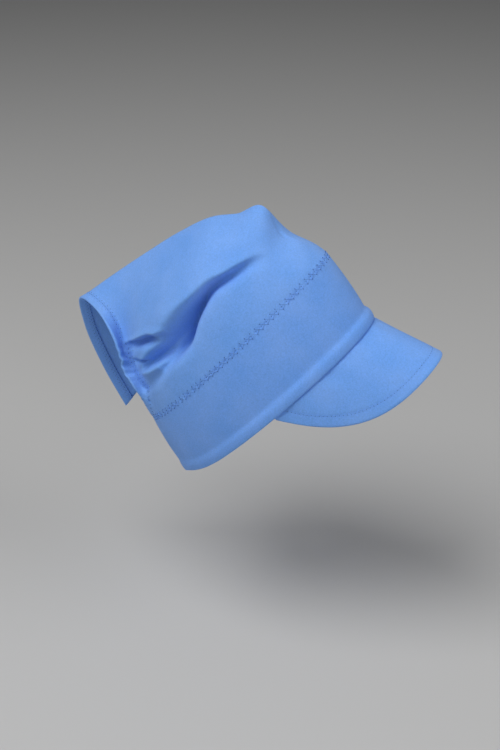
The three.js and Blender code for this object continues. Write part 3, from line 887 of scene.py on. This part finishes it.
def jersey(name, colour):
    """Knitted cotton: fine ribs with courses across them, flecked fibres and slow patches."""
    made = bpy.data.materials.new(name)
    made.use_nodes = True
    nodes, links = made.node_tree.nodes, made.node_tree.links
    shader = nodes["Principled BSDF"]
    shader.inputs["Roughness"].default_value = 0.92
    shader.inputs["Specular IOR Level"].default_value = 0.18
    shader.inputs["Sheen Weight"].default_value = 0.16
    shader.inputs["Sheen Roughness"].default_value = 0.55
    shader.inputs["Sheen Tint"].default_value = (0.75, 0.86, 1, 1)

    def math_node(operation, first, second=None):
        node = nodes.new("ShaderNodeMath")
        node.operation = operation
        for socket, value in zip(node.inputs, (first, second)):
            if value is None:
                continue
            if isinstance(value, (int, float)):
                socket.default_value = value
            else:
                links.new(value, socket)
        return node.outputs[0]

    def noise(vector, scale, detail, roughness=0.6):
        node = nodes.new("ShaderNodeTexNoise")
        node.inputs["Scale"].default_value = scale
        node.inputs["Detail"].default_value = detail
        node.inputs["Roughness"].default_value = roughness
        links.new(vector, node.inputs["Vector"])
        return node.outputs["Fac"]

    cloth = nodes.new("ShaderNodeUVMap")
    cloth.uv_map = "cloth"
    split = nodes.new("ShaderNodeSeparateXYZ")
    links.new(cloth.outputs["UV"], split.inputs[0])
    place = nodes.new("ShaderNodeTexCoord").outputs["Object"]

    # Knit loops: each wale is a pair of legs that slant towards its middle
    wobble = math_node("MULTIPLY", math_node("SUBTRACT", noise(place, NOISE["wobble"], 2), 0.5), 0.35)
    across = math_node("ADD", math_node("MULTIPLY", split.outputs["X"], 1 / (WALE * MM)), wobble)
    leg = math_node("PINGPONG", across, 0.5)
    slant = math_node("MULTIPLY", leg, 1.1)
    down = math_node("ADD", math_node("MULTIPLY", split.outputs["Y"], 1 / (COURSE * MM)), slant)
    ribs = math_node("SINE", math_node("MULTIPLY", leg, 2 * math.pi))
    loops = math_node("SINE", math_node("MULTIPLY", down, 2 * math.pi))
    knit = math_node("ADD", math_node("MULTIPLY", ribs, 0.6), math_node("MULTIPLY", loops, 0.4))
    fibres = noise(place, NOISE["fibres"], 3, 0.7)
    height = math_node("ADD", knit, math_node("MULTIPLY", fibres, 0.9))

    fleck = math_node("SUBTRACT", noise(place, NOISE["fleck"], 3, 0.75), 0.5)
    patch = math_node("SUBTRACT", noise(place, NOISE["patch"], 3, 0.5), 0.5)
    value = math_node("ADD", math_node("MULTIPLY", fleck, 0.55), math_node("MULTIPLY", patch, 0.08))
    # The knit's height also makes the colour lighter on the loops and darker between them: painted
    # shade in the knit's hollows
    value = math_node("ADD", value, math_node("MULTIPLY", knit, 0.05))
    value = math_node("ADD", value, 0.97)
    tint = nodes.new("ShaderNodeHueSaturation")
    tint.inputs["Color"].default_value = (*colour, 1)
    links.new(value, tint.inputs["Value"])
    links.new(math_node("ADD", math_node("MULTIPLY", patch, -0.12), 1.0), tint.inputs["Saturation"])
    links.new(tint.outputs["Color"], shader.inputs["Base Color"])

    fine = nodes.new("ShaderNodeBump")
    fine.inputs["Strength"].default_value = 0.45
    fine.inputs["Distance"].default_value = 0.00022
    links.new(height, fine.inputs["Height"])
    soft = nodes.new("ShaderNodeBump")
    soft.inputs["Strength"].default_value = 0.35
    soft.inputs["Distance"].default_value = 0.0012
    links.new(noise(place, NOISE["relief"], 3, 0.5), soft.inputs["Height"])
    links.new(fine.outputs["Normal"], soft.inputs["Normal"])
    links.new(soft.outputs["Normal"], shader.inputs["Normal"])
    return made


def thread(name, colour):
    """Twisted sewing thread, darker in the grooves of its twist: painted shade. A darker colour of it
    makes the dark marks of painted shade at the needle holes.
    """
    made = bpy.data.materials.new(name)
    made.use_nodes = True
    nodes, links = made.node_tree.nodes, made.node_tree.links
    shader = nodes["Principled BSDF"]
    shader.inputs["Roughness"].default_value = 0.75
    shader.inputs["Specular IOR Level"].default_value = 0.3
    place = nodes.new("ShaderNodeTexCoord").outputs["Object"]
    twist = nodes.new("ShaderNodeTexWave")
    twist.inputs["Scale"].default_value = 900
    twist.inputs["Distortion"].default_value = 3
    links.new(place, twist.inputs["Vector"])
    # Darker where the twist's height is low: painted shade in the twist's grooves
    tint = nodes.new("ShaderNodeMix")
    tint.data_type = "RGBA"
    tint.inputs["A"].default_value = (*(c * 0.72 for c in colour), 1)
    tint.inputs["B"].default_value = (*colour, 1)
    links.new(twist.outputs["Fac"], tint.inputs["Factor"])
    links.new(tint.outputs["Result"], shader.inputs["Base Color"])
    bump = nodes.new("ShaderNodeBump")
    bump.inputs["Strength"].default_value = 0.4
    bump.inputs["Distance"].default_value = 0.0001
    links.new(twist.outputs["Fac"], bump.inputs["Height"])
    links.new(bump.outputs["Normal"], shader.inputs["Normal"])
    return made


def paint(piece, material):
    piece.data.materials.clear()
    piece.data.materials.append(material)


CROWN_COLOUR = (0.183, 0.40, 0.905)
BAND_COLOUR = (0.174, 0.385, 0.90)
PEAK_COLOUR = (0.180, 0.40, 0.915)
THREAD_COLOUR = (0.225, 0.47, 0.97)
# A darker thread colour: painted shade for the needle holes and the gaps between stitches
HOLE_SHADE_PAINT_COLOUR = (0.05, 0.14, 0.47)

crown_jersey = jersey("crown_jersey", CROWN_COLOUR)
band_jersey = jersey("band_jersey", BAND_COLOUR)
peak_jersey = jersey("peak_jersey", PEAK_COLOUR)
sewing = thread("sewing_thread", THREAD_COLOUR)
painted_hole_shade_material = thread("painted_needle_hole_shade", HOLE_SHADE_PAINT_COLOUR)

crown = make_crown()
band = make_headband()
peak = make_peak()
paint(crown, crown_jersey)
paint(band, band_jersey)
paint(peak, peak_jersey)

crown_threads = []
for name, (threads, holes) in (
    ("seam_stitches", seam_stitches()),
    ("hem_stitches", hem_stitches(False)),
    ("hem_stitches_inside", hem_stitches(True)),
):
    crown_threads.append(thread_mesh(name, *threads, **CROWN_THREAD))
    paint(crown_threads[-1], sewing)
    # Each kind's second mesh is dark marks of painted shade at the needle holes
    turns, radius = holes
    crown_threads.append(thread_mesh(name + "_painted_hole_shade", *turns, radius=radius, bow=HOLE_BOW))
    paint(crown_threads[-1], painted_hole_shade_material)
# The gaps between the peak's stitches get dark marks of painted shade too
row, turns = peak_stitches()
peak_threads = [thread_mesh("peak_stitches", *row, **PEAK_THREAD),
                thread_mesh("peak_stitches_painted_hole_shade", *turns, **PEAK_HOLE_SHADE_MARK)]
paint(peak_threads[0], sewing)
paint(peak_threads[1], painted_hole_shade_material)

# What moves with what, and the model's own parts hidden

for piece, slot in (
    (crown, "crown_jersey"),
    (band, "band_jersey"),
    (peak, "peak_jersey"),
    *((threads, "peak_jersey") for threads in peak_threads),
    *((threads, "crown_jersey") for threads in crown_threads),
):
    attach(piece, "root")
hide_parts("crown", "tail_hem")
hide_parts("headband")
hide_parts("peak")

# The floor, the light and the camera

FLOOR_Z = -0.19
FLOOR_HALF = 6.0

# The photograph's view, in metres, with the lens in millimetres on a 36 mm sensor
CAMERA_PLACE = (-0.8925, -0.2659, 0.5454)
CAMERA_FORWARD = (0.826, 0.268, -0.495)
CAMERA_LENS = 62.88


def make_floor():
    mesh = bpy.data.meshes.new("floor")
    signs = [(-1, -1), (1, -1), (1, 1), (-1, 1)]
    corners = [(x * FLOOR_HALF, y * FLOOR_HALF, FLOOR_Z) for x, y in signs]
    mesh.from_pydata(corners, [], [(0, 1, 2, 3)])
    floor = add_object("floor", mesh)
    made = bpy.data.materials.new("floor")
    made.use_nodes = True
    shader = made.node_tree.nodes["Principled BSDF"]
    shader.inputs["Base Color"].default_value = (0.54, 0.535, 0.525, 1)
    shader.inputs["Roughness"].default_value = 0.8
    mesh.materials.append(made)


def area_light(name, place, power):
    data = bpy.data.lights.new(name, "AREA")
    data.shape = "DISK"
    data.size = LIGHT_SIZE
    data.energy = power
    data.color = LIGHT_COLOUR
    light = add_object(name, data)
    light.location = place
    light.rotation_euler = (LIT_POINT - Vector(place)).to_track_quat("-Z", "Y").to_euler()


def make_camera():
    """The photograph's view: its place and its three directions in the model's frame."""
    data = bpy.data.cameras.new("camera")
    data.sensor_width = 36
    data.lens = CAMERA_LENS
    data.clip_start = 0.05
    data.clip_end = 50
    camera = add_object("camera", data)
    forward = Vector(CAMERA_FORWARD).normalized()
    right = forward.cross(Vector((0, 0, 1))).normalized()
    up = right.cross(forward)
    axes = Matrix((right, up, -forward)).transposed().to_4x4()
    camera.matrix_world = Matrix.Translation(CAMERA_PLACE) @ axes
    bpy.context.scene.camera = camera


make_floor()
make_camera()
LIT_POINT = Vector((0, 0.02, 0.03))
LIGHT_DISTANCE = 2.0
LIGHT_SIZE = 1.4

LIGHT_COLOUR = (0.985, 0.99, 1.0)

# Each light's bearing from the back towards the wearer's right, its height in degrees and its power
LIGHTS = {
    "front": (180, 35, 14),
    "right": (120, 30, 6),
    "back_right": (45, 35, 7),
    "high_right": (45, 65, 26.5),
}
for name, (bearing, height, power) in LIGHTS.items():
    bearing, height = math.radians(bearing), math.radians(height)
    level = math.cos(height)
    way = Vector((-math.sin(bearing) * level, math.cos(bearing) * level, math.sin(height)))
    area_light(name, LIT_POINT + way * LIGHT_DISTANCE, power)

world = bpy.data.worlds.new("studio")
world.use_nodes = True
world.node_tree.nodes["Background"].inputs["Color"].default_value = (0.92, 0.96, 1.0, 1)
world.node_tree.nodes["Background"].inputs["Strength"].default_value = 0.04
bpy.context.scene.world = world
bpy.context.scene.view_settings.view_transform = "Standard"

bpy.context.view_layer.update()
